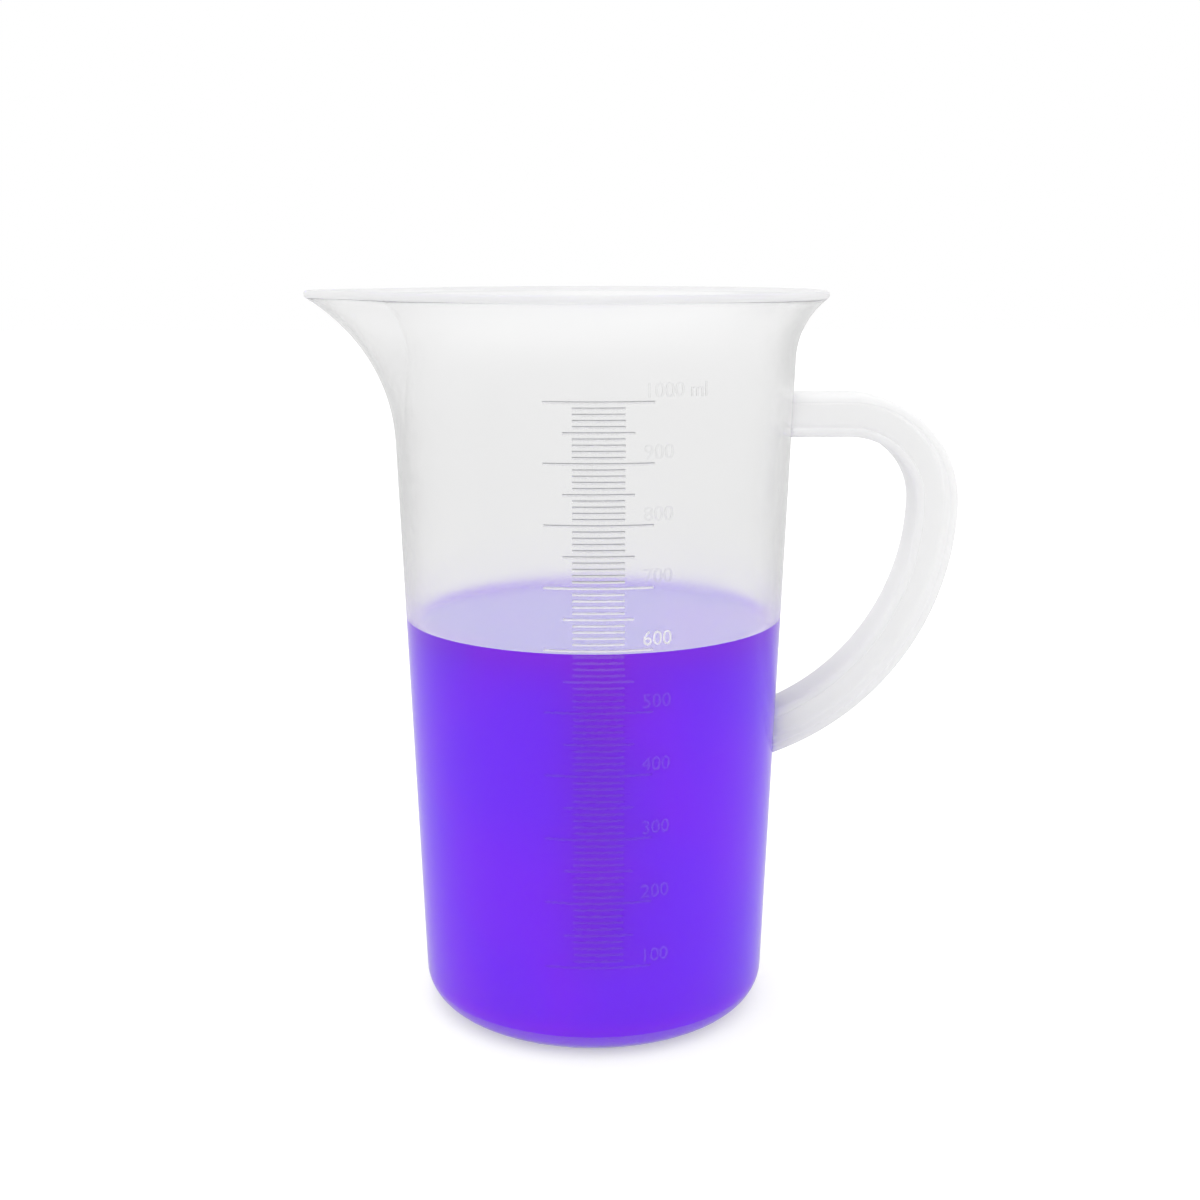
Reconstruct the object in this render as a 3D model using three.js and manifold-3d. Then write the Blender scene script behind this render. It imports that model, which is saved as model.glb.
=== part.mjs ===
// Graduated pouring beaker: a tall drafted polypropylene vessel with a flared rim, a pulled spout and a raised
// scale of true volumes, a moulded D handle of I section seated on its wall, and the liquid that part fills it.
// Millimetres, +Z up. The origin is on the vessel's axis, on the plane that it stands on.
// The spout points along -X, the handle along +X, and the scale side faces -Y.

import * as THREE from 'three';
import { mergeGeometries, mergeVertices } from 'three/addons/utils/BufferGeometryUtils.js';
import Module from 'manifold-3d';

const wasm = await Module();
wasm.setup();

// Vessel wall and base
const RIM_HEIGHT = 183; // outer edge of the rim above the standing plane
const FOOT_RADIUS = 44.4; // outer wall carried straight down to the standing plane
const DRAFT = 0.0362; // growth of the wall's radius per millimetre of height
const WALL = 2;
const BASE_THICKNESS = 3;
const FOOT_RECESS = 5.9; // how far the base is raised inside its foot ring
const FOOT_RING = 2.5; // width of the flat ring that the vessel stands on
const RECESS_SLOPE = 2; // run of the recess's slanted side
const CORNER_RADIUS = 8.5; // outside corner between base and wall
const BORE_CORNER = 6; // inside corner between floor and wall

// Flared rim, the same all round, and the spout pulled out of it
const FLARE_HEIGHT = 14.5;
const FLARE_REACH = 7;
const SPOUT_HEIGHT = 36.5;
const SPOUT_REACH = 20.3; // from the straight wall to the spout's tip, at the rim
const SPOUT_RIM_ANGLE = THREE.MathUtils.degToRad(31); // half the spout's spread at the rim
const SPOUT_FOOT_ANGLE = THREE.MathUtils.degToRad(20); // and where it leaves the wall
const SPOUT_TAPER = 1.85; // power that makes the spout's two sides about straight in plan
const SPOUT_ROUNDING = 0.13; // of the half spread, how much of the tip is rounded

// Handle: a flat arm off the wall, a bend, and a long sweep back to the wall
const HANDLE_DROP = 29; // middle of the arm below the rim
const FINGER_GAP = 31.5; // from the wall to the inside of the grip
const STRAP_DEPTH = 10.8; // across the strap, in the handle's own plane
const STRAP_WIDTH = 14;
const STRAP_EDGE = 1.2; // rounding of the strap's long edges
const BEND_RADIUS = 22.5; // to the middle of the strap
const SWEEP_RADIUS = 63.8; // to the middle of the strap
const FLANGE = 2.3; // border left round each side pocket
const WEB = 3; // left between the two side pockets
const SEAT_GAP = 0.3; // between the handle's roots and the wall

// Raised scale on the front wall: a line at every whole step of volume, longer at the larger steps
const SCALE_FIRST = 100; // millilitres
const SCALE_STEP = 10; // millilitres
const SCALE_CLEAR = 6.5; // the last line lies at least this far below the flare
const SCALE_AZIMUTH = Math.PI / 2; // from the spout
const LINE_LENGTHS = new Map([[100, 25.4], [50, 16.4], [SCALE_STEP, 12]]); // millilitres, millimetres
const LINE_WIDTH = 0.6;
const LINE_RELIEF = 0.3;
const LINE_SINK = 0.3; // how deep a line is rooted in the wall

// Contents
const FILL_VOLUME = 585; // millilitres
const FILL_GAP = 0.3; // between the liquid and the vessel
const MENISCUS_RISE = 1.2; // where the liquid climbs the wall
const MENISCUS_RUN = 3;

// Facets
const SEGMENTS = 72; // round the vessel
const SPOUT_CROWDING = 0.45; // how much closer the segments stand at the spout
const ROUND_STEPS = 5; // round a corner or the lip
const FLARE_STEPS = 5;
const SPOUT_STEPS = 6; // below the flare
const ARC_STEPS = 10;
const EDGE_STEPS = 2;
const LINE_STEPS = 3;
const VOLUME_SLICE = 0.2; // millimetres of height for adding up the bore's volume
const CUBIC_MM_PER_ML = 1000;
const CUTTER_MARGIN = 10; // how far a cutter runs past what it cuts

const FLOOR_HEIGHT = FOOT_RECESS + BASE_THICKNESS; // of the raised middle
const FLARE_FOOT = RIM_HEIGHT - FLARE_HEIGHT;
const SPOUT_FOOT = RIM_HEIGHT - SPOUT_HEIGHT;

function wallRadius(height) {
  return FOOT_RADIUS + DRAFT * height;
}

// How far a circular arc, tangent to the wall at its foot, leans out at a height above that foot.
function arcLean(rise, height, reach) {
  if (rise <= 0) return 0;
  const radius = (height ** 2 + reach ** 2) / (2 * reach);
  return radius - Math.sqrt(radius ** 2 - rise ** 2);
}

function flareLean(height) {
  return arcLean(height - FLARE_FOOT, FLARE_HEIGHT, FLARE_REACH);
}

// Share of the spout's full pull at an angle from its middle: 1 on the keel, 0 from the fold outwards.
function spoutShare(azimuth, height) {
  const climb = THREE.MathUtils.clamp((height - SPOUT_FOOT) / SPOUT_HEIGHT, 0, 1);
  const spread = THREE.MathUtils.lerp(SPOUT_FOOT_ANGLE, SPOUT_RIM_ANGLE, climb);
  const turn = Math.atan2(Math.sin(azimuth), Math.cos(azimuth)) / spread;
  const rounded = Math.hypot(turn, SPOUT_ROUNDING) - SPOUT_ROUNDING;
  const fold = Math.hypot(1, SPOUT_ROUNDING) - SPOUT_ROUNDING;
  return Math.max(0, 1 - rounded / fold) ** SPOUT_TAPER;
}

// Radius of the outside at an azimuth, which is counted from the spout's middle.
function outerRadius(azimuth, height) {
  const flare = flareLean(height);
  const keel = arcLean(height - SPOUT_FOOT, SPOUT_HEIGHT, SPOUT_REACH);
  return wallRadius(height) + flare + (keel - flare) * spoutShare(azimuth, height);
}

// A point of the wall in the half-plane at an azimuth: depth goes into the wall along its normal,
// and past runs on beyond the rim along the wall's own direction.
function wallPoint(azimuth, height, depth = 0, past = 0) {
  const step = 0.01;
  const slope = (outerRadius(azimuth, height) - outerRadius(azimuth, height - step)) / step;
  const along = new THREE.Vector2(slope, 1).normalize();
  const inward = new THREE.Vector2(-along.y, along.x);
  return new THREE.Vector2(outerRadius(azimuth, height), height)
    .addScaledVector(inward, depth)
    .addScaledVector(along, past);
}

function arcPoints(x, y, radius, from, to, steps) {
  return new THREE.EllipseCurve(x, y, radius, radius, from, to, from > to).getPoints(steps);
}

// Heights of the rows that shape the spout and the flare, from the spout's foot to the rim
function rimRows() {
  const spout = Array.from({ length: SPOUT_STEPS }, (_, i) =>
    THREE.MathUtils.lerp(SPOUT_FOOT, FLARE_FOOT, i / SPOUT_STEPS));
  const flare = Array.from({ length: FLARE_STEPS + 1 }, (_, i) =>
    THREE.MathUtils.lerp(FLARE_FOOT, RIM_HEIGHT, i / FLARE_STEPS));
  return [...spout, ...flare];
}

// The corner's round and the recess, inside which the base is raised
const CORNER_CENTRE = wallRadius(CORNER_RADIUS) - CORNER_RADIUS;
const RECESS_RADIUS = CORNER_CENTRE - FOOT_RING;

// Radius of the slanted side of the raised base at a height, a thickness of plastic out from the recess
function raisedRadius(height, thickness) {
  const slant = RECESS_SLOPE / FOOT_RECESS;
  return RECESS_RADIUS - slant * height + thickness * Math.hypot(1, slant);
}

// Middle of the inside corner's round, whose wall side is set in by the wall's thickness
const BORE_CORNER_HEIGHT = BASE_THICKNESS + BORE_CORNER;
const BORE_CORNER_RADIUS = wallRadius(BORE_CORNER_HEIGHT) - WALL - BORE_CORNER;

function boreRadius(height) {
  const drop = BORE_CORNER_HEIGHT - height;
  if (drop <= 0) return wallRadius(height) - WALL;
  return BORE_CORNER_RADIUS + Math.sqrt(Math.max(0, BORE_CORNER ** 2 - drop ** 2));
}

// Height to which a volume in millilitres fills the bore
function fillHeight(millilitres) {
  let height = BASE_THICKNESS;
  let left = millilitres * CUBIC_MM_PER_ML;
  while (left > 0) {
    const middle = height + VOLUME_SLICE / 2;
    const raised = middle < FLOOR_HEIGHT ? raisedRadius(middle, BASE_THICKNESS) : 0;
    const slice = Math.PI * (boreRadius(middle) ** 2 - raised ** 2);
    height += Math.min(VOLUME_SLICE, left / slice);
    left -= slice * VOLUME_SLICE;
  }
  return height;
}

// A closed skin round the axis, from the outline in the half-plane at each azimuth.
// Each outline starts and ends on the axis, and all have the same number of points.
function revolve(outline) {
  const rows = outline(0).length;
  const geometry = new THREE.LatheGeometry(outline(0), SEGMENTS);
  for (let i = 0; i <= SEGMENTS; i++) {
    const even = (i / SEGMENTS) * 2 * Math.PI;
    const azimuth = even - SPOUT_CROWDING * Math.sin(even);
    outline(azimuth).forEach((point, j) => {
      const x = -point.x * Math.cos(azimuth);
      const y = -point.x * Math.sin(azimuth);
      geometry.attributes.position.setXYZ(i * rows + j, x, y, point.y);
    });
  }
  return geometry;
}

function toSolid(geometry) {
  const bare = geometry.clone();
  bare.deleteAttribute('normal');
  bare.deleteAttribute('uv');
  const merged = mergeVertices(bare);
  const triangles = [];
  for (let i = 0; i < merged.index.count; i += 3) {
    const [a, b, c] = [0, 1, 2].map((k) => merged.index.getX(i + k));
    if (a !== b && b !== c && c !== a) triangles.push(a, b, c);
  }
  return new wasm.Manifold(new wasm.Mesh({
    numProp: 3,
    vertProperties: new Float32Array(merged.attributes.position.array),
    triVerts: new Uint32Array(triangles),
  }));
}

function toGeometry(solid) {
  const mesh = solid.getMesh();
  const geometry = new THREE.BufferGeometry();
  geometry.setAttribute('position', new THREE.BufferAttribute(new Float32Array(mesh.vertProperties), 3));
  geometry.setIndex(new THREE.BufferAttribute(new Uint32Array(mesh.triVerts), 1));
  geometry.computeVertexNormals();
  return geometry;
}

// Outline of the raised floor, seen from the bore and lifted by a gap, from its foot to the axis
function raisedFloor(gap) {
  const [foot, top] = [BASE_THICKNESS + gap, FLOOR_HEIGHT + gap];
  return [
    new THREE.Vector2(raisedRadius(foot, BASE_THICKNESS + gap), foot),
    new THREE.Vector2(raisedRadius(top, BASE_THICKNESS + gap), top),
    new THREE.Vector2(0, top),
  ];
}

// Outline of the vessel's section: up the outside from under the base, over the lip and down the bore
function vesselOutline(azimuth) {
  const underside = [
    new THREE.Vector2(0, FOOT_RECESS),
    new THREE.Vector2(RECESS_RADIUS - RECESS_SLOPE, FOOT_RECESS),
    new THREE.Vector2(RECESS_RADIUS, 0),
  ];
  const corner = arcPoints(CORNER_CENTRE, CORNER_RADIUS, CORNER_RADIUS, -Math.PI / 2, 0, ROUND_STEPS);
  const outside = rimRows().map((height) => wallPoint(azimuth, height));
  const lip = arcPoints(0, 0, WALL / 2, 0, Math.PI, ROUND_STEPS)
    .slice(1, -1)
    .map((turn) => wallPoint(azimuth, RIM_HEIGHT, WALL / 2 - turn.x, turn.y));
  const inside = rimRows().reverse().map((height) => wallPoint(azimuth, height, WALL));
  const boreCorner = arcPoints(BORE_CORNER_RADIUS, BORE_CORNER_HEIGHT, BORE_CORNER, 0, -Math.PI / 2, ROUND_STEPS);
  return [...underside, ...corner, ...outside, ...lip, ...inside, ...boreCorner, ...raisedFloor(0)];
}

// Outline of the liquid: the bore less its gap, with the surface turned up at the wall
function liquidOutline() {
  const level = fillHeight(FILL_VOLUME);
  const edge = boreRadius(level) - FILL_GAP;
  const corner = arcPoints(
    BORE_CORNER_RADIUS, BORE_CORNER_HEIGHT, BORE_CORNER - FILL_GAP, -Math.PI / 2, 0, ROUND_STEPS);
  const meniscus = Array.from({ length: ROUND_STEPS + 1 }, (_, i) => {
    const inset = i / ROUND_STEPS;
    return new THREE.Vector2(edge - MENISCUS_RUN * inset, level + MENISCUS_RISE * (1 - inset) ** 2);
  });
  return [...raisedFloor(FILL_GAP).reverse(), ...corner, ...meniscus, new THREE.Vector2(0, level)];
}

// The scale's lines, each a low bar that follows the wall, at the height to which its volume fills the bore
function scaleSolid() {
  const bars = [];
  const top = FLARE_FOOT - SCALE_CLEAR;
  for (let volume = SCALE_FIRST; fillHeight(volume) < top; volume += SCALE_STEP) {
    const height = fillHeight(volume);
    const radius = outerRadius(SCALE_AZIMUTH, height);
    const [, length] = [...LINE_LENGTHS].find(([step]) => volume % step === 0);
    const [from, to] = [-1, 1].map((side) => SCALE_AZIMUTH - Math.PI + (side * length) / 2 / radius);
    const shape = new THREE.Shape();
    shape.absarc(0, 0, radius + LINE_RELIEF, from, to, false);
    shape.absarc(0, 0, radius - LINE_SINK, to, from, true);
    shape.closePath();
    const settings = { depth: LINE_WIDTH, curveSegments: LINE_STEPS, bevelEnabled: false };
    bars.push(new THREE.ExtrudeGeometry(shape, settings).translate(0, 0, height - LINE_WIDTH / 2));
  }
  return toSolid(mergeGeometries(bars));
}

// Side view of the strap, set in by a border all along its two edges, with its ends run into the vessel
function strapShape(border) {
  const half = STRAP_DEPTH / 2 - border;
  const armHeight = RIM_HEIGHT - HANDLE_DROP;
  const turnHeight = armHeight - BEND_RADIUS;
  const gripMiddle = wallRadius(armHeight) + FINGER_GAP + STRAP_DEPTH / 2;
  const bendX = gripMiddle - BEND_RADIUS;
  const sweepX = gripMiddle - SWEEP_RADIUS;
  const endX = FOOT_RADIUS - CUTTER_MARGIN;
  const sweepEnd = (radius) => -Math.acos((endX - sweepX) / radius);
  const shape = new THREE.Shape();
  shape.moveTo(endX, armHeight + half);
  shape.lineTo(bendX, armHeight + half);
  shape.absarc(bendX, turnHeight, BEND_RADIUS + half, Math.PI / 2, 0, true);
  shape.absarc(sweepX, turnHeight, SWEEP_RADIUS + half, 0, sweepEnd(SWEEP_RADIUS + half), true);
  shape.absarc(sweepX, turnHeight, SWEEP_RADIUS - half, sweepEnd(SWEEP_RADIUS - half), 0, false);
  shape.absarc(bendX, turnHeight, BEND_RADIUS - half, 0, Math.PI / 2, false);
  shape.lineTo(endX, armHeight - half);
  shape.closePath();
  return shape;
}

// A strap solid between two planes across the handle, standing upright in the XZ plane
function strapSolid(border, from, to, rounding) {
  const geometry = new THREE.ExtrudeGeometry(strapShape(border), {
    depth: to - from - 2 * rounding,
    curveSegments: ARC_STEPS,
    bevelEnabled: rounding > 0,
    bevelThickness: rounding,
    bevelSize: rounding,
    bevelOffset: -rounding,
    bevelSegments: EDGE_STEPS,
  });
  geometry.translate(0, 0, from + rounding);
  geometry.rotateX(Math.PI / 2);
  return toSolid(geometry);
}

// The vessel's round outside, grown by a gap, as a cutter for what seats on the wall
function wallCutter(gap) {
  const rows = [-CUTTER_MARGIN, FLARE_FOOT, ...rimRows().filter((height) => height > FLARE_FOOT)];
  const side = rows.map((height) => new THREE.Vector2(wallRadius(height) + flareLean(height) + gap, height));
  const outline = [new THREE.Vector2(0, rows[0]), ...side, new THREE.Vector2(0, RIM_HEIGHT)];
  return toSolid(revolve(() => outline));
}

function handleSolid() {
  const side = STRAP_WIDTH / 2;
  const pockets = [1, -1].map((facing) => {
    const [from, to] = [WEB / 2, side + CUTTER_MARGIN].map((across) => facing * across).sort((a, b) => a - b);
    return strapSolid(FLANGE, from, to, 0);
  });
  return pockets
    .reduce((strap, pocket) => strap.subtract(pocket), strapSolid(0, -side, side, STRAP_EDGE))
    .subtract(wallCutter(SEAT_GAP));
}

function mesh(name, geometry, material) {
  const piece = new THREE.Mesh(geometry, new THREE.MeshStandardMaterial(material));
  piece.name = name;
  return piece;
}

const polypropylene = { color: 0xeef0f1, roughness: 0.3, metalness: 0, transparent: true, opacity: 0.35 };
const violetWater = { color: 0x7833f8, roughness: 0.08, metalness: 0 };

const beaker = new THREE.Group();
beaker.add(
  mesh('beaker_body', toGeometry(toSolid(revolve(vesselOutline)).add(scaleSolid())), polypropylene),
  mesh('handle', toGeometry(handleSolid()), polypropylene),
  mesh('liquid_fill', toGeometry(toSolid(revolve(liquidOutline))), violetWater),
);

export default beaker;
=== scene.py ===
"""Looks of a graduated pouring beaker: natural polypropylene with a moulded scale, part full of violet water.

Sizes are in millimetres in the beaker's own frame, and become metres where a mesh is made.
The spout points along -X, the handle along +X, and the scale faces -Y.
"""

import math

import bpy
import numpy as np
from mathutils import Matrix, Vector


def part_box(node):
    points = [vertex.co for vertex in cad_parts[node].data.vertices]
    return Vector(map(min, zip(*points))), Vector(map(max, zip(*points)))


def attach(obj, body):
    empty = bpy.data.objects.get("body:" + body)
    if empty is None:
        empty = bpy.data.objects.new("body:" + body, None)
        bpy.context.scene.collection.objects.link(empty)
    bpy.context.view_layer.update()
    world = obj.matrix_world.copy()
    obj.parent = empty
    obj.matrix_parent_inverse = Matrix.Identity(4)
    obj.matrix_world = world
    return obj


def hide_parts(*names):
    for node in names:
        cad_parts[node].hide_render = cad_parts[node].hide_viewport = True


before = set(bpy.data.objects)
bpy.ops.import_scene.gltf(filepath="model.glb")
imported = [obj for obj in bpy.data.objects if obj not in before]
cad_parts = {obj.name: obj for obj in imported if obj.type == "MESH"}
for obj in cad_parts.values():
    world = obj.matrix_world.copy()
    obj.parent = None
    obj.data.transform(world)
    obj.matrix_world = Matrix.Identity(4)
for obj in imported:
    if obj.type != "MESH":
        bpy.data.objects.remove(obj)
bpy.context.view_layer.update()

MM = 0.001
handle_low, handle_high = (np.array(corner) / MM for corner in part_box("handle"))
liquid_high = np.array(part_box("liquid_fill")[1]) / MM

# Vessel wall and base
RIM_HEIGHT = 183.0
FOOT_RADIUS = 44.4
DRAFT = 0.0362
WALL = 2.0
BASE_THICKNESS = 3.0
FOOT_RECESS = 5.9
FOOT_RING = 2.5
RECESS_SLOPE = 2.0
RECESS_EDGE = 1.0
CORNER_RADIUS = 8.5
BORE_CORNER = 6.0
SHARP_EDGE = math.radians(35)  # faces that meet at more than this keep a crisp edge

# Flared rim, and the spout pulled out of it
FLARE_HEIGHT = 14.5
FLARE_REACH = 7.0
SPOUT_HEIGHT = 36.5
SPOUT_REACH = 20.3
SPOUT_RIM_ANGLE = math.radians(31)
SPOUT_FOOT_ANGLE = math.radians(20)
SPOUT_TAPER = 1.85
SPOUT_ROUNDING = 0.13
LIP_OVERLAP = 0.8  # how much further down the lip's milky white runs inside than outside

# Handle: the strap's section, and the path of its middle
STRAP_DEPTH = 10.8
STRAP_EDGE = 1.2
BEND_RADIUS = 22.5
SWEEP_RADIUS = 63.8
FLANGE = 2.3
WEB = 3.0
POCKET_FILLET = 0.9
ROOT_SINK = 0.3  # how far the roots run into the wall that they are moulded on to

# Contents
MENISCUS_RISE = 1.2
MENISCUS_RUN = 3.0
WETTING = 0.1  # how far the liquid's skin lies inside the wall that it wets

# Scale moulded on the front wall
SCALE_STEP = 10  # millilitres
SCALE_FIRST = 100
SCALE_LAST = 1000
LINE_LENGTHS = {100: 25.4, 50: 16.4, 10: 12.0}  # of the lines at whole steps of so many millilitres
LINE_WIDTH = 0.6
LINE_RELIEF = 0.3
LINE_SINK = 0.1
NUMBER_HEIGHT = 3.4
NUMBER_START = 10.2  # from the scale's middle line, round the wall
NUMBER_LIFT = 1.0  # foot of a number above its line
NUMBER_RELIEF = 0.15
SPLASH = 18.0  # height above the liquid that is still wet
SHALLOW = 7.0  # depth below the liquid's edge where lines still catch light
SURFACE_VIEW = 9.0  # height above the liquid whose numbers are seen against its open surface
FLANK_EDGE = LINE_WIDTH / 8  # how far above a line's middle its lower flank reaches
NUMBER_STEP = 100  # millilitres
FIGURE_SHARE = 0.7  # a figure's height as a share of the type's size

# Finishes
FLOW_WIDTH = 25.0  # clouds left by the melt's flow
GRAIN_WIDTH = 0.8  # mould's satin grain, drawn coarser than the real one so that it shows
GRAIN_DEPTH = 0.004
SCATTER_DEPTH = 15.0  # how far light wanders in milky plastic
SATIN_SPREAD = 0.15  # share by which the roughness varies with the clouds
PLASTIC_BEND = 1.49  # indices of refraction
WATER_BEND = 1.333
COAT_BEND = 1.6
SWIRL_WIDTH = 38.0  # streaks of dye
THROWN_GREY = "#A4A2A6"  # what the liquid throws on the floor and the handle

# Places of the materials in each piece's list
THIN_WALL, LIP, FOOT = range(3)
FLANGES, POCKETS = range(2)
INSIDE, OPEN_SURFACE, THIN_EDGE = range(3)
# Scale: grey painted shade on upper flanks, white painted highlight on lower flanks, then clear and faint
# relief
PAINTED_SHADE, PAINTED_HIGHLIGHT, CLEAR, FAINT = range(4)

# Sockets of a node that mixes colours
MIX_FACTOR, MIX_FIRST, MIX_SECOND, MIX_RESULT = 0, 6, 7, 2

# Grid of the surfaces
COLUMNS = 288
SPOUT_CROWDING = 0.45
ROUND_STEPS = 10
CORNER_STEPS = 4
WALL_STEPS = 12
RIM_STEPS = 28
FOOT_ROWS = 8  # rows of the rounded corner that belong to the thick base
SURFACE_ROWS = 4  # last rows of the liquid's skin, which are its open surface inside the thin edge
ARM_STEPS = 12
BEND_STEPS = 24
SWEEP_STEPS = 48
LINE_STEPS = 8
FIGURE_STEPS = 4
VOLUME_SLICES = 4000
HALVINGS = 40
CUBIC_MM_PER_ML = 1000

# Camera, fitted to the photograph's 1200 px frame
FRAME_PIXELS = 1200
FOCAL_PIXELS = 1637.7
SENSOR = 36.0
CAMERA_PLACE = (1.67, -414.5, 192.9)
CAMERA_TILT = math.radians(11.84)
CAMERA_YAW = math.radians(-1.6)  # the scale's middle faces a little to the right of the camera
STUDIO_LEVEL = 1.1  # light on the beaker, where 1 is white paper

FLOOR_HEIGHT = FOOT_RECESS + BASE_THICKNESS
FLARE_FOOT = RIM_HEIGHT - FLARE_HEIGHT
SPOUT_FOOT = RIM_HEIGHT - SPOUT_HEIGHT
BORE_CORNER_HEIGHT = BASE_THICKNESS + BORE_CORNER
LIQUID_LEVEL = liquid_high[2] - MENISCUS_RISE
STRAP_WIDTH = handle_high[1] - handle_low[1]
ARM_HEIGHT = handle_high[2] - STRAP_DEPTH / 2
TURN_HEIGHT = ARM_HEIGHT - BEND_RADIUS
BEND_X = handle_high[0] - STRAP_DEPTH / 2 - BEND_RADIUS
SWEEP_X = handle_high[0] - STRAP_DEPTH / 2 - SWEEP_RADIUS
SCALE_AZIMUTH = math.pi / 2


def wall_radius(height):
    """Outside of the straight wall: the foot's radius, growing in proportion to the height."""
    return FOOT_RADIUS + DRAFT * height


def arc_lean(rise, height, reach):
    """Lean of a circular arc that is tangent to the wall at its foot, at a rise above that foot.

    The arc's radius is the one at which it leans out by reach at its full height."""
    radius = (height**2 + reach**2) / (2 * reach)
    return radius - np.sqrt(radius**2 - np.clip(rise, 0, height) ** 2)


def spout_share(azimuth, height):
    """Share of the spout's pull: 1 on the keel, then a power of what is left of the way to the fold.

    The fold stands at an angle that grows with height, and the keel is rounded as a hyperbola is."""
    climb = np.clip((height - SPOUT_FOOT) / SPOUT_HEIGHT, 0, 1)
    spread = SPOUT_FOOT_ANGLE + (SPOUT_RIM_ANGLE - SPOUT_FOOT_ANGLE) * climb
    turn = np.arctan2(np.sin(azimuth), np.cos(azimuth)) / spread
    rounded = np.hypot(turn, SPOUT_ROUNDING) - SPOUT_ROUNDING
    fold = np.hypot(1, SPOUT_ROUNDING) - SPOUT_ROUNDING
    return np.clip(1 - rounded / fold, 0, None) ** SPOUT_TAPER


def outer_radius(azimuth, height):
    """Outside of the vessel: the wall and its flare, and at the spout that share of the keel's own arc."""
    flare = arc_lean(height - FLARE_FOOT, FLARE_HEIGHT, FLARE_REACH)
    keel = arc_lean(height - SPOUT_FOOT, SPOUT_HEIGHT, SPOUT_REACH)
    return wall_radius(height) + flare + (keel - flare) * spout_share(azimuth, height)


def bore_radius(height):
    """Inside of the vessel: the straight wall less its thickness, and a quarter circle into the floor."""
    centre = wall_radius(BORE_CORNER_HEIGHT) - WALL - BORE_CORNER
    drop = np.clip(BORE_CORNER_HEIGHT - height, 0, BORE_CORNER)
    rounded = centre + np.sqrt(BORE_CORNER**2 - drop**2)
    return np.where(height < BORE_CORNER_HEIGHT, rounded, wall_radius(height) - WALL)


def recess_radius():
    """Edge of the recess under the base: the foot ring's width inside the corner's round."""
    return wall_radius(CORNER_RADIUS) - CORNER_RADIUS - FOOT_RING


def raised_radius(height, thickness):
    """Slanted side of the raised base: the recess's own side, moved out by a thickness of plastic."""
    slant = RECESS_SLOPE / FOOT_RECESS
    return recess_radius() - slant * height + thickness * math.hypot(1, slant)


def fill_height(millilitres):
    """Height to which volumes fill the bore: the running sum of its slices, read backwards.

    Below the raised middle of the floor a slice is a ring, and above it a whole disc."""
    height = np.linspace(BASE_THICKNESS, RIM_HEIGHT, VOLUME_SLICES)
    raised = np.where(height < FLOOR_HEIGHT, raised_radius(height, BASE_THICKNESS), 0)
    area = math.pi * (bore_radius(height) ** 2 - raised**2)
    slices = (area[1:] + area[:-1]) / 2 * np.diff(height)
    volume = np.concatenate([[0], np.cumsum(slices)]) / CUBIC_MM_PER_ML
    return np.interp(millilitres, volume, height)


def arc(x, y, radius, start, stop, steps=ROUND_STEPS):
    """Points of a circular arc, as one row of x and one of y."""
    angle = np.linspace(start, stop, steps + 1)
    return np.array([x + radius * np.cos(angle), y + radius * np.sin(angle)])


def rounded_outline(corners, radii):
    """A closed outline whose corners are rounded by arcs that are tangent to both of their sides."""
    corners = np.array(corners, float)
    to_last = np.roll(corners, 1, axis=0) - corners
    to_next = np.roll(corners, -1, axis=0) - corners
    to_last /= np.linalg.norm(to_last, axis=1, keepdims=True)
    to_next /= np.linalg.norm(to_next, axis=1, keepdims=True)
    half = np.arccos(np.clip((to_last * to_next).sum(axis=1), -1, 1)) / 2
    middle = to_last + to_next
    middle /= np.linalg.norm(middle, axis=1, keepdims=True)
    radii = np.array(radii, float)
    centre = corners + middle * (radii / np.sin(half))[:, None]
    start = corners + to_last * (radii / np.tan(half))[:, None] - centre
    stop = corners + to_next * (radii / np.tan(half))[:, None] - centre
    share = np.linspace(0, 1, CORNER_STEPS + 1)[None, :, None]
    sweep = (math.pi - 2 * half)[:, None, None]
    from_start = np.sin((1 - share) * sweep) * start[:, None]
    to_stop = np.sin(share * sweep) * stop[:, None]
    return (centre[:, None] + (from_start + to_stop) / np.sin(sweep)).reshape(-1, 2)


def base_step(side, foot, top):
    """The rounded step between the base's ring and its raised middle, from the ring's side inwards.

    It is the second and third corner of an outline whose other corners lie far away."""
    far = RIM_HEIGHT
    corners = [(far, foot), (side(foot), foot), (side(top), top), (-far, top), (-far, far), (far, far)]
    outline = rounded_outline(corners, [RECESS_EDGE] * len(corners))
    steps = CORNER_STEPS + 1
    return outline[steps:3 * steps].T


def column_azimuths():
    """Azimuths of the columns, counted from the spout and closer together there by a sine."""
    even = np.arange(COLUMNS) / COLUMNS * 2 * math.pi
    return even - SPOUT_CROWDING * np.sin(even)


def all_round(radius, height):
    """Rows of a section that are the same all round: radius and height, repeated for every column."""
    rows = np.array(np.broadcast_arrays(radius, height), float).reshape(2, -1, 1)
    return np.repeat(rows, COLUMNS, axis=2)


def wall_rows(height, depth=0.0, past=0.0):
    """Rows of the vessel's wall: its outside, moved in along its normal by depth, and up its slope by past."""
    azimuth = column_azimuths()[None, :]
    height, depth, past = (np.reshape(np.array(value, float), (-1, 1)) for value in (height, depth, past))
    step = 0.01
    slope = (outer_radius(azimuth, height) - outer_radius(azimuth, height - step)) / step
    length = np.hypot(slope, 1)
    radius = outer_radius(azimuth, height) + (past * slope - depth) / length
    return np.array([radius, height + (past + depth * slope) / length])


def ring_quads(rows, columns):
    """Quads between neighbouring rings of a grid whose columns close on themselves."""
    row, column = np.meshgrid(np.arange(rows - 1), np.arange(columns), indexing="ij")
    after = (column + 1) % columns
    low, high = row * columns, (row + 1) * columns
    return np.stack([low + column, low + after, high + after, high + column], axis=-1).reshape(-1, 4)


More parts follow.
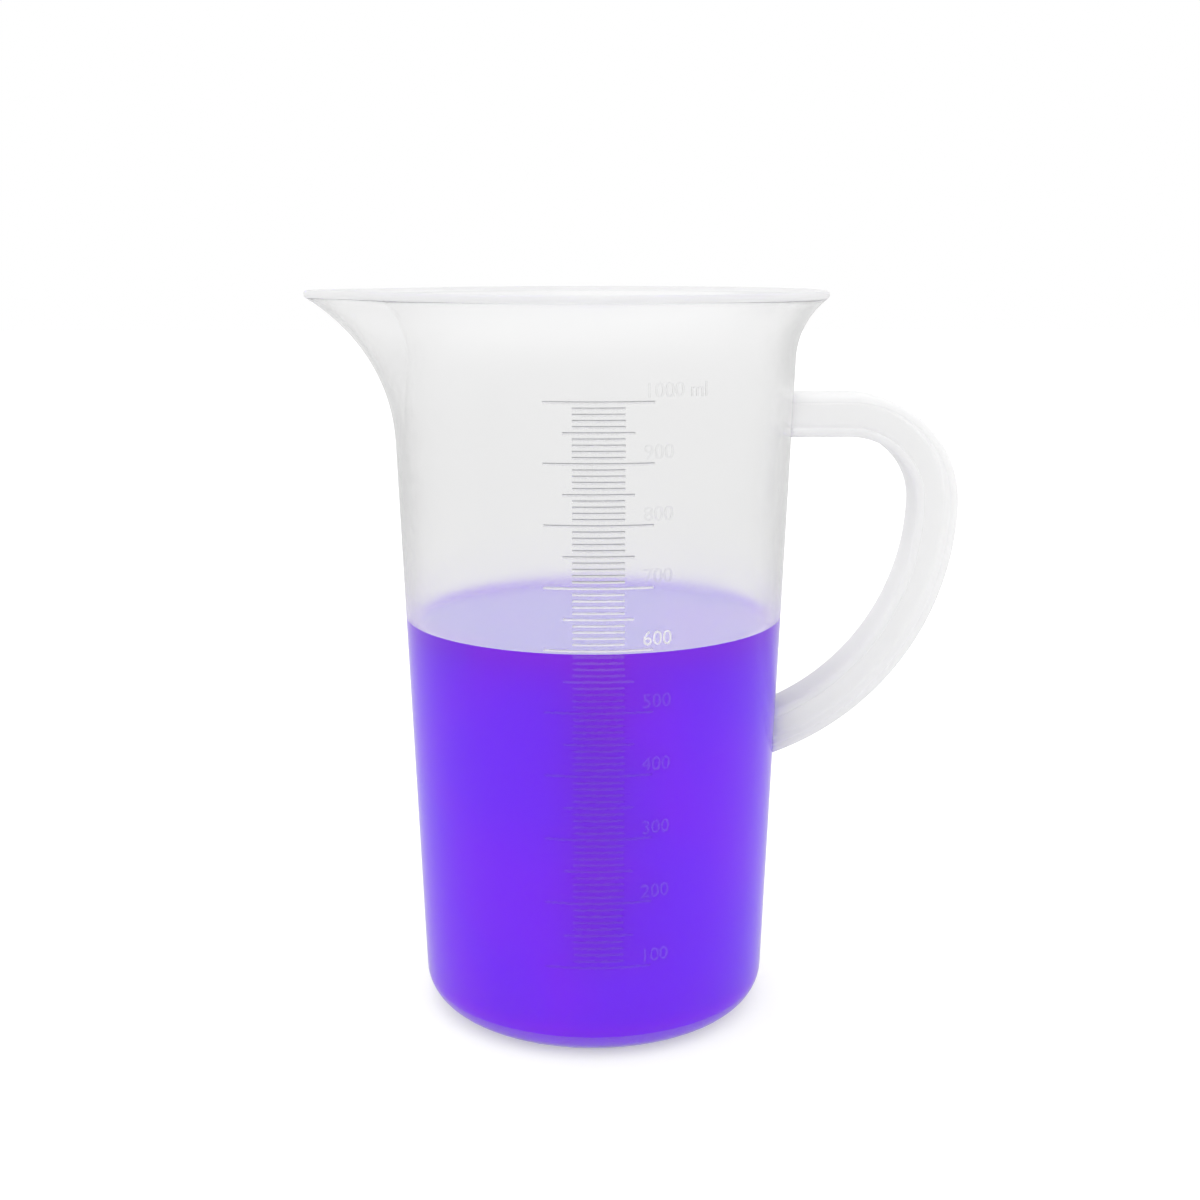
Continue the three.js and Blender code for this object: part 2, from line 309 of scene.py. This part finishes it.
def make_piece(name, points, faces, materials, slots=None):
    """A smooth mesh object at the origin from points in millimetres, crisp where faces meet sharply."""
    mesh = bpy.data.meshes.new(name)
    mesh.from_pydata((points * MM).tolist(), [], faces)
    for material in materials:
        mesh.materials.append(material)
    if slots is not None:
        mesh.polygons.foreach_set("material_index", slots)
    mesh.polygons.foreach_set("use_smooth", np.ones(len(mesh.polygons), bool))
    mesh.set_sharp_from_angle(angle=SHARP_EDGE)
    mesh.update()
    piece = bpy.data.objects.new(name, mesh)
    bpy.context.scene.collection.objects.link(piece)
    return piece


def round_skin(name, section, materials, row_slots=None):
    """A closed skin round the axis from a section's rows of radius and height.

    The first and last rows lie on the axis, and close the skin with fans."""
    azimuth = column_azimuths()
    radius, height = section[:, 1:-1]
    rings = np.stack([-radius * np.cos(azimuth), -radius * np.sin(azimuth), height], axis=-1)
    poles = np.array([[0, 0, section[1, 0, 0]], [0, 0, section[1, -1, 0]]])
    points = np.concatenate([rings.reshape(-1, 3), poles])
    rows = len(radius)
    column = np.arange(COLUMNS)
    after = (column + 1) % COLUMNS
    top = (rows - 1) * COLUMNS
    foot_fan = np.stack([np.full(COLUMNS, rows * COLUMNS), after, column], axis=-1)
    top_fan = np.stack([top + column, top + after, np.full(COLUMNS, rows * COLUMNS + 1)], axis=-1)
    faces = ring_quads(rows, COLUMNS).tolist() + foot_fan.tolist() + top_fan.tolist()
    slots = None
    if row_slots is not None:
        bands = np.array(row_slots)[1:-1]
        fans = np.repeat([row_slots[0], row_slots[-1]], COLUMNS)
        slots = np.concatenate([np.repeat(bands[:-1], COLUMNS), fans])
    return make_piece(name, points, faces, materials, slots)


def make_vessel(materials):
    """The vessel: up the outside from under the base, over the half-round lip and down the bore to the floor.

    Its lip and its foot are thick, so they have milkier materials than the wall."""
    underside = base_step(lambda height: raised_radius(height, 0), 0, FOOT_RECESS)[:, ::-1]
    floor = base_step(lambda height: raised_radius(height, BASE_THICKNESS), BASE_THICKNESS, FLOOR_HEIGHT)
    corner = arc(wall_radius(CORNER_RADIUS) - CORNER_RADIUS, CORNER_RADIUS, CORNER_RADIUS, -math.pi / 2, 0)
    straight = np.linspace(CORNER_RADIUS, SPOUT_FOOT, WALL_STEPS + 1)[1:-1]
    rim = np.linspace(SPOUT_FOOT, RIM_HEIGHT, RIM_STEPS + 1)
    lip = arc(0, 0, WALL / 2, 0, math.pi)[:, 1:-1]
    bore_centre = bore_radius(BORE_CORNER_HEIGHT) - BORE_CORNER
    bore_corner = arc(bore_centre, BORE_CORNER_HEIGHT, BORE_CORNER, 0, -math.pi / 2)
    dry = np.linspace(LIQUID_LEVEL + MENISCUS_RISE, SPOUT_FOOT, WALL_STEPS // 2 + 1)[-2::-1]
    stretches = [
        all_round(0, FOOT_RECESS),
        all_round(*underside),
        all_round(*corner),
        all_round(wall_radius(straight), straight),
        wall_rows(rim),
        wall_rows(np.full(lip.shape[1], RIM_HEIGHT), WALL / 2 - lip[0], lip[1]),
        wall_rows(np.insert(rim[::-1], 1, RIM_HEIGHT - LIP_OVERLAP), WALL),
        all_round(bore_radius(dry), dry),
        all_round(*bore_corner),
        all_round(*floor),
        all_round(0, FLOOR_HEIGHT),
    ]
    counts = [rows.shape[1] for rows in stretches]
    row_slots = np.full(sum(counts), THIN_WALL)
    lip_start = sum(counts[:5])
    row_slots[lip_start - 1:lip_start + counts[5] + 1] = LIP
    row_slots[:sum(counts[:2]) + FOOT_ROWS] = FOOT
    return round_skin("beaker_vessel", np.concatenate(stretches, axis=1), materials, row_slots)


def make_liquid(materials):
    """The liquid: along the bore, a hair inside the plastic, with a parabola that turns up at the wall."""
    edge = bore_radius(LIQUID_LEVEL) + WETTING
    bore_centre = bore_radius(BORE_CORNER_HEIGHT) - BORE_CORNER
    corner = arc(bore_centre, BORE_CORNER_HEIGHT, BORE_CORNER + WETTING, -math.pi / 2, 0)
    inset = np.linspace(0, 1, ROUND_STEPS + 1)
    meniscus = np.array([edge - MENISCUS_RUN * inset, LIQUID_LEVEL + MENISCUS_RISE * (1 - inset) ** 2])
    film = BASE_THICKNESS - WETTING
    floor = base_step(lambda height: raised_radius(height, film), film, FLOOR_HEIGHT - WETTING)[:, ::-1]
    axis = np.array([[0], [FLOOR_HEIGHT - WETTING]])
    rows = np.concatenate([axis, floor, corner, meniscus, [[0], [LIQUID_LEVEL]]], axis=1)
    row_slots = np.full(rows.shape[1], INSIDE)
    row_slots[-meniscus.shape[1] - 1:-SURFACE_ROWS] = THIN_EDGE
    row_slots[-SURFACE_ROWS:] = OPEN_SURFACE
    return round_skin("violet_liquid", all_round(*rows), materials, row_slots)


def strap_section():
    """Outline of the strap across its path: an I whose two flanges lie at its inner and outer edge."""
    side, edge = STRAP_WIDTH / 2, STRAP_DEPTH / 2
    pocket, web = edge - FLANGE, WEB / 2
    quarter = [(side, edge), (side, pocket), (web, pocket)]
    mirrored = [(across, -out) for across, out in quarter[::-1]]
    right = quarter + mirrored
    left = [(-across, out) for across, out in right[::-1]]
    radii = [STRAP_EDGE, POCKET_FILLET / 2, POCKET_FILLET, POCKET_FILLET, POCKET_FILLET / 2, STRAP_EDGE]
    return rounded_outline(right + left, radii + radii)


def sweep_end(across, out):
    """Angle at which each line of the strap meets the wall at the end of the sweep, found by halving."""
    radius = SWEEP_RADIUS + out
    low, high = np.full_like(out, -math.pi / 2), np.zeros_like(out)
    for _ in range(HALVINGS):
        angle = (low + high) / 2
        wall = np.sqrt(wall_radius(TURN_HEIGHT + radius * np.sin(angle)) ** 2 - across**2) - ROOT_SINK
        outside = SWEEP_X + radius * np.cos(angle) > wall
        low, high = np.where(outside, low, angle), np.where(outside, angle, high)
    return (low + high) / 2


def make_handle(materials):
    """The handle: its section carried along an arm, a quarter bend and a long sweep back to the wall.

    Each line of the section runs along its own parallel of the path, from wall to wall. The pockets have a
    material of their own, painted a lighter white than the flanges, which evens out by paint the shade that
    falls in them."""
    across, out = strap_section().T
    arm_share, bend_share, sweep_share = (
        np.linspace(0, 1, steps + 1)[:, None] for steps in (ARM_STEPS, BEND_STEPS, SWEEP_STEPS))
    arm_start = np.sqrt(wall_radius(ARM_HEIGHT + out) ** 2 - across**2) - ROOT_SINK
    arm_x = arm_start + (BEND_X - arm_start) * arm_share
    bend = math.pi / 2 * (1 - bend_share[1:])
    sweep = sweep_end(across, out) * sweep_share[1:]
    x = np.concatenate([
        arm_x,
        BEND_X + (BEND_RADIUS + out) * np.cos(bend),
        SWEEP_X + (SWEEP_RADIUS + out) * np.cos(sweep),
    ])
    z = np.concatenate([
        np.broadcast_to(ARM_HEIGHT + out, arm_x.shape),
        TURN_HEIGHT + (BEND_RADIUS + out) * np.sin(bend),
        TURN_HEIGHT + (SWEEP_RADIUS + out) * np.sin(sweep),
    ])
    points = np.stack([x, np.broadcast_to(across, x.shape), z], axis=-1)
    stations, count = x.shape
    first = list(range(count))
    last = [(stations - 1) * count + i for i in reversed(range(count))]
    faces = ring_quads(stations, count).tolist() + [first, last]
    middle = np.abs(out + np.roll(out, -1)) / 2
    # Pockets take the web's lighter white, painted light against the shade that falls there
    strip_slots = np.where(middle < STRAP_DEPTH / 2 - FLANGE + POCKET_FILLET / 8, POCKETS, FLANGES)
    slots = np.append(np.tile(strip_slots, stations - 1), [FLANGES, FLANGES])
    return make_piece("d_handle", points.reshape(-1, 3), faces, materials, slots)


def on_wall(along, height, relief):
    """Points on the scale side: along is the run round the wall from its middle, and relief stands off it."""
    azimuth = SCALE_AZIMUTH + along / wall_radius(height)
    radius = wall_radius(height) + relief
    return np.stack([-radius * np.cos(azimuth), -radius * np.sin(azimuth), height], axis=-1)


def scale_lines():
    """Points and faces of the scale's lines: a low half-ellipse carried round the wall at each volume."""
    volume = np.arange(SCALE_FIRST, SCALE_LAST + 1, SCALE_STEP)
    length = np.select([volume % step == 0 for step in LINE_LENGTHS], list(LINE_LENGTHS.values()))
    turn = np.linspace(0, math.pi, ROUND_STEPS + 1)
    rise = np.concatenate([[-1.0], -np.cos(turn), [1.0]]) * LINE_WIDTH / 2
    relief = np.concatenate([[-LINE_SINK], np.sin(turn) * LINE_RELIEF, [-LINE_SINK]])
    run = np.linspace(-0.5, 0.5, LINE_STEPS + 1)
    shape = (len(volume), len(run), len(rise))
    along = np.broadcast_to(length[:, None, None] * run[None, :, None], shape)
    height = np.broadcast_to(fill_height(volume)[:, None, None] + rise[None, None, :], shape)
    points = on_wall(along, height, np.broadcast_to(relief, shape))
    line_quads = ring_quads(len(run), len(rise))[:, ::-1]
    first = np.arange(len(volume))[:, None, None] * len(run) * len(rise)
    caps = np.array([np.arange(len(rise)), (len(run) - 1) * len(rise) + np.arange(len(rise))[::-1]])
    faces = (first + line_quads).reshape(-1, 4).tolist() + (first + caps).reshape(-1, len(rise)).tolist()
    return points.reshape(-1, 3), faces


def number_mesh(text, height):
    """Points and faces of a raised number: plain upright type, wrapped on to the wall above its line."""
    curve = bpy.data.curves.new(text, "FONT")
    curve.body = text
    curve.size = NUMBER_HEIGHT / FIGURE_SHARE
    curve.extrude = NUMBER_RELIEF / 2
    curve.resolution_u = FIGURE_STEPS
    writer = bpy.data.objects.new(text, curve)
    bpy.context.scene.collection.objects.link(writer)
    bpy.context.view_layer.update()
    mesh = bpy.data.meshes.new_from_object(writer.evaluated_get(bpy.context.evaluated_depsgraph_get()))
    flat = np.empty(len(mesh.vertices) * 3)
    mesh.vertices.foreach_get("co", flat)
    flat = flat.reshape(-1, 3)
    faces = [list(polygon.vertices) for polygon in mesh.polygons]
    bpy.data.objects.remove(writer)
    bpy.data.curves.remove(curve)
    bpy.data.meshes.remove(mesh)
    return on_wall(NUMBER_START + flat[:, 0], height + NUMBER_LIFT + flat[:, 1], flat[:, 2]), faces


def make_scale(materials):
    """The raised scale: its lines, and a number above each line of whole hundreds.

    Lines have a pale lower flank, a painted highlight, and a grey upper one, painted shade, which is clear
    where the last pour has left it wet. In front of the liquid both are clear, and lower down only faintly
    tinted. Numbers are clear too, but the one over the open surface carries the painted highlight."""
    points, faces = scale_lines()
    middle = np.array([points[face, 2].mean() for face in faces])
    level = fill_height(np.arange(SCALE_FIRST, SCALE_LAST + 1, SCALE_STEP))
    nearest = level[np.abs(middle[:, None] - level).argmin(axis=1)]
    lower = middle < nearest + FLANK_EDGE
    deep = middle < LIQUID_LEVEL - SHALLOW
    wet = (middle < LIQUID_LEVEL + SPLASH) & ~lower | (middle < LIQUID_LEVEL + MENISCUS_RISE)
    # Lower flanks take the white painted highlight and upper flanks the grey painted shade, unless wet or deep
    slots = np.select([deep, wet, lower], [FAINT, CLEAR, PAINTED_HIGHLIGHT], PAINTED_SHADE).tolist()
    parts = [points]
    count = len(points)
    for volume in range(SCALE_FIRST, SCALE_LAST + 1, NUMBER_STEP):
        text = f"{volume} ml" if volume == SCALE_LAST else str(volume)
        line = float(fill_height(volume))
        new_points, new_faces = number_mesh(text, line)
        faces += [[count + corner for corner in face] for face in new_faces]
        over_surface = LIQUID_LEVEL < line < LIQUID_LEVEL + SURFACE_VIEW
        # The number seen against the open surface carries the white painted highlight
        slots += [PAINTED_HIGHLIGHT if over_surface else CLEAR] * len(new_faces)
        parts.append(new_points)
        count += len(new_points)
    return make_piece("raised_scale", np.concatenate(parts), faces, materials, slots)


def srgb(colour):
    """Linear red, green, blue and alpha of an sRGB hex colour."""
    channels = np.array([int(colour[i:i + 2], 16) for i in (1, 3, 5)]) / 255
    linear = np.where(channels <= 0.04045, channels / 12.92, ((channels + 0.055) / 1.055) ** 2.4)
    return (*linear.tolist(), 1.0)


def add_node(tree, kind, inputs=None, **settings):
    """Adds a node with its settings: each input is a constant, or another node's output to link from."""
    node = tree.nodes.new(kind)
    for name, value in settings.items():
        setattr(node, name, value)
    for socket, value in (inputs or {}).items():
        if isinstance(value, bpy.types.NodeSocket):
            tree.links.new(value, node.inputs[socket])
        else:
            node.inputs[socket].default_value = value
    return node


def new_material(name):
    """A material with an empty node tree, and that tree."""
    material = bpy.data.materials.new(name)
    material.use_nodes = True
    material.node_tree.nodes.clear()
    return material, material.node_tree


def polypropylene(name, colour, cloud, roughness, clearness, milk=0.0, bend=PLASTIC_BEND):
    """Natural polypropylene, injection-moulded: the melt's flow leaves faint clouds, the mould a satin grain.

    A thin wall is clear and lets light through with a soft haze, and thick sections scatter it inside to a
    milky white. Low relief bends light less than the solid does, so that it shows only faintly."""
    material, tree = new_material(name)
    place = add_node(tree, "ShaderNodeTexCoord")
    flow = add_node(tree, "ShaderNodeTexNoise", {
        "Vector": place.outputs["Object"],
        "Scale": 1 / (FLOW_WIDTH * MM),
        "Detail": 3.0,
    })
    grain = add_node(tree, "ShaderNodeTexNoise", {
        "Vector": place.outputs["Object"],
        "Scale": 1 / (GRAIN_WIDTH * MM),
    })
    clouded = add_node(tree, "ShaderNodeMix", {
        MIX_FACTOR: flow.outputs["Fac"],
        MIX_FIRST: srgb(colour),
        MIX_SECOND: srgb(cloud),
    }, data_type="RGBA")
    satin = add_node(tree, "ShaderNodeMapRange", {
        "Value": flow.outputs["Fac"],
        "From Min": 0.3,
        "From Max": 0.7,
        "To Min": (1 - SATIN_SPREAD) * roughness,
        "To Max": (1 + SATIN_SPREAD) * roughness,
    })
    relief = add_node(tree, "ShaderNodeBump", {
        "Height": grain.outputs["Fac"],
        "Distance": GRAIN_DEPTH * MM,
    })
    surface = add_node(tree, "ShaderNodeBsdfPrincipled", {
        "Base Color": clouded.outputs[MIX_RESULT],
        "Roughness": satin.outputs["Result"],
        "Normal": relief.outputs["Normal"],
        "IOR": bend,
        "Transmission Weight": clearness,
        "Subsurface Weight": milk,
        "Subsurface Radius": (1.0, 1.0, 1.0),
        "Subsurface Scale": SCATTER_DEPTH * MM,
    })
    add_node(tree, "ShaderNodeOutputMaterial", {"Surface": surface.outputs["BSDF"]})
    return material


def violet_water(name, colour, streak, reflection, coat):
    """Dyed water: deep violet at once below its skin, with soft streaks where the dye isn't fully mixed in.

    What it throws on the floor and the handle is grey, because a bright studio drowns its tint there."""
    material, tree = new_material(name)
    place = add_node(tree, "ShaderNodeTexCoord")
    swirl = add_node(tree, "ShaderNodeTexNoise", {
        "Vector": place.outputs["Object"],
        "Scale": 1 / (SWIRL_WIDTH * MM),
        "Detail": 1.0,
        "Distortion": 0.6,
    })
    spread = add_node(tree, "ShaderNodeMapRange", {
        "Value": swirl.outputs["Fac"],
        "From Min": 0.35,
        "From Max": 0.65,
    }, interpolation_type="SMOOTHSTEP")
    dye = add_node(tree, "ShaderNodeMix", {
        MIX_FACTOR: spread.outputs["Result"],
        MIX_FIRST: srgb(colour),
        MIX_SECOND: srgb(streak),
    }, data_type="RGBA")
    path = add_node(tree, "ShaderNodeLightPath")
    thrown = add_node(tree, "ShaderNodeMath", {
        0: path.outputs["Is Transmission Ray"],
        1: path.outputs["Diffuse Depth"],
    }, operation="MULTIPLY", use_clamp=True)
    seen = add_node(tree, "ShaderNodeMix", {
        MIX_FACTOR: thrown.outputs[0],
        MIX_FIRST: dye.outputs[MIX_RESULT],
        MIX_SECOND: srgb(THROWN_GREY),
    }, data_type="RGBA")
    surface = add_node(tree, "ShaderNodeBsdfPrincipled", {
        "Base Color": seen.outputs[MIX_RESULT],
        "Roughness": 0.0,
        "IOR": WATER_BEND,
        "Specular IOR Level": reflection,
        "Coat Weight": coat,
        "Coat Roughness": 0.0,
        "Coat IOR": COAT_BEND,
    })
    add_node(tree, "ShaderNodeOutputMaterial", {"Surface": surface.outputs["BSDF"]})
    return material


def by_ray(tree, others, camera, refracted, mirrored):
    """A value that differs by ray: seen by the camera, through the plastic, in a reflection, or otherwise.

    Each is a number or an output. Cycles calls a ray that plastic bends glossy too, so those are taken out."""
    path = add_node(tree, "ShaderNodeLightPath")
    bent = path.outputs["Is Transmission Ray"]
    turned = add_node(tree, "ShaderNodeMath", {
        0: path.outputs["Is Glossy Ray"],
        1: bent,
    }, operation="SUBTRACT", use_clamp=True).outputs[0]
    value = others
    for ray, shown in ((path.outputs["Is Camera Ray"], camera), (bent, refracted), (turned, mirrored)):
        value = add_node(tree, "ShaderNodeMix", {"Factor": ray, "A": value, "B": shown}).outputs["Result"]
    return value


def make_floor():
    """A plain white floor that keeps a faint shadow: part of its white is lit, and part glows where seen."""
    material, tree = new_material("white sweep")
    grey = by_ray(tree, others=0.85, camera=0.94, refracted=0.15, mirrored=0.33)
    glow = by_ray(tree, others=0.0, camera=0.26, refracted=0.69, mirrored=0.5)
    paint = add_node(tree, "ShaderNodeCombineColor", {"Red": grey, "Green": grey, "Blue": grey})
    lit = add_node(tree, "ShaderNodeBsdfDiffuse", {"Color": paint.outputs["Color"]})
    glowing = add_node(tree, "ShaderNodeEmission", {"Strength": glow})
    both = add_node(tree, "ShaderNodeAddShader", {0: lit.outputs[0], 1: glowing.outputs[0]})
    add_node(tree, "ShaderNodeOutputMaterial", {"Surface": both.outputs[0]})
    reach = 4000.0
    low = -0.2
    turns = ((-1, -1), (1, -1), (1, 1), (-1, 1))
    corners = np.array([[x * reach, y * reach, low] for x, y in turns])
    make_piece("floor", corners, [[0, 1, 2, 3]], [material])


def make_world():
    """Even light from all round, and plain white behind the beaker.

    What the plastic mirrors is dimmer at the ceiling and on the camera's side, which gives it form."""
    world = bpy.data.worlds.new("studio")
    world.use_nodes = True
    tree = world.node_tree
    tree.nodes.clear()
    place = add_node(tree, "ShaderNodeTexCoord")
    direction = add_node(tree, "ShaderNodeSeparateXYZ", {"Vector": place.outputs["Generated"]})
    ceiling = add_node(tree, "ShaderNodeMapRange", {
        "Value": direction.outputs["Z"],
        "From Min": 0.35,
        "From Max": 0.95,
        "To Min": 1.0,
        "To Max": 0.85,
    }, interpolation_type="SMOOTHSTEP")
    room = add_node(tree, "ShaderNodeMapRange", {
        "Value": direction.outputs["Y"],
        "From Min": -0.9,
        "From Max": -0.1,
        "To Min": 0.8,
        "To Max": 1.0,
    }, interpolation_type="SMOOTHSTEP")
    dimmed = add_node(tree, "ShaderNodeMath", {
        0: ceiling.outputs["Result"],
        1: room.outputs["Result"],
    }, operation="MULTIPLY")
    backdrop = add_node(tree, "ShaderNodeMapRange", {
        "Value": direction.outputs["Y"],
        "From Min": 0.2,
        "From Max": 0.8,
        "To Min": STUDIO_LEVEL,
        "To Max": 1.0,
    }, interpolation_type="SMOOTHSTEP").outputs["Result"]
    level = by_ray(tree, others=backdrop, camera=1.0, refracted=backdrop, mirrored=dimmed.outputs[0])
    white = add_node(tree, "ShaderNodeBackground", {"Color": (1.0, 1.0, 1.0, 1.0), "Strength": level})
    add_node(tree, "ShaderNodeOutputWorld", {"Surface": white.outputs[0]})
    return world


def make_studio():
    """The world, and a softbox overhead that gives the rim its highlights and the foot its shadow."""
    scene = bpy.context.scene
    scene.world = make_world()
    scene.view_settings.view_transform = "Standard"
    # Light that the wall turns back by total reflection reaches the liquid only on unblurred glossy paths
    scene.cycles.blur_glossy = 0.0
    # A ray crosses up to eight skins of plastic and bounces between wall and liquid
    scene.cycles.max_bounces = 24
    scene.cycles.diffuse_bounces = 12
    scene.cycles.glossy_bounces = 12
    scene.cycles.transmission_bounces = 24

    softbox = bpy.data.lights.new("overhead softbox", "AREA")
    softbox.shape = "DISK"
    softbox.size = 0.5
    softbox.energy = 0.35
    lamp = bpy.data.objects.new("overhead softbox", softbox)
    lamp.location = (-0.1, 0.15, 0.75)
    lamp.rotation_euler = (math.radians(-12), math.radians(-8), 0)
    scene.collection.objects.link(lamp)


def make_camera():
    """The photograph's camera: fitted place, tilt and focal length, turned about the axis by its yaw."""
    data = bpy.data.cameras.new("photo camera")
    data.sensor_width = SENSOR
    data.lens = FOCAL_PIXELS / FRAME_PIXELS * SENSOR
    data.clip_start = 0.01
    camera = bpy.data.objects.new("photo camera", data)
    x, y, z = (value * MM for value in CAMERA_PLACE)
    cosine, sine = math.cos(CAMERA_YAW), math.sin(CAMERA_YAW)
    camera.location = (x * cosine - y * sine, x * sine + y * cosine, z)
    camera.rotation_euler = (math.pi / 2 - CAMERA_TILT, 0, CAMERA_YAW)
    bpy.context.scene.collection.objects.link(camera)
    bpy.context.scene.camera = camera


make_camera()
make_studio()
make_floor()

vessel = make_vessel([
    polypropylene("natural polypropylene, thin wall", "#FEFEFE", "#FCFCFC", 0.16, clearness=1.0),
    polypropylene("natural polypropylene, lip", "#F0F0F0", "#ECECEC", 0.4, clearness=0.22, milk=0.8),
    polypropylene("natural polypropylene, foot", "#FBFBFB", "#F8F8F8", 0.2, clearness=0.9, milk=0.7),
])
handle = make_handle([
    # The flanges' darker grey is painted shade and the web's lighter white painted light, evening out the
    # shade in the pockets
    polypropylene("natural polypropylene, flanges", "#E7E7E7", "#E3E3E3", 0.5, clearness=0.0, milk=1.0),
    polypropylene("natural polypropylene, web", "#F3F3F3", "#F0F0F0", 0.5, clearness=0.0, milk=1.0),
])
liquid = make_liquid([
    violet_water("violet dyed water", "#9C14FF", "#941CFF", reflection=0.03, coat=0.0),
    violet_water("violet dyed water, open surface", "#5A40D2", "#6E3CD6", reflection=0.5, coat=1.0),
    violet_water("violet dyed water, thin edge", "#A48CF0", "#A886F0", reflection=0.5, coat=1.0),
])
scale = make_scale([
    # The grey flank is painted shade, and the white flank a painted highlight
    polypropylene("natural polypropylene, flank with painted shade", "#ACADAE", "#A8A9AA", 0.5, clearness=0.2),
    polypropylene("natural polypropylene, flank with painted highlight", "#FFFFFF", "#FDFDFD", 0.5, clearness=0.4),
    polypropylene("natural polypropylene, low relief", "#FAFAFA", "#F8F8F8", 0.12, clearness=1.0, bend=1.38),
    polypropylene("natural polypropylene, deep relief", "#F4F4F7", "#F2F2F5", 0.12, clearness=1.0, bend=1.25),
])

pieces = (
    (vessel, "beaker_body", "vessel"),
    (handle, "handle", "handle"),
    (liquid, "liquid_fill", "liquid"),
)
for piece, node, slot in pieces:
    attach(piece, "root")
    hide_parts(node)
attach(scale, "root")
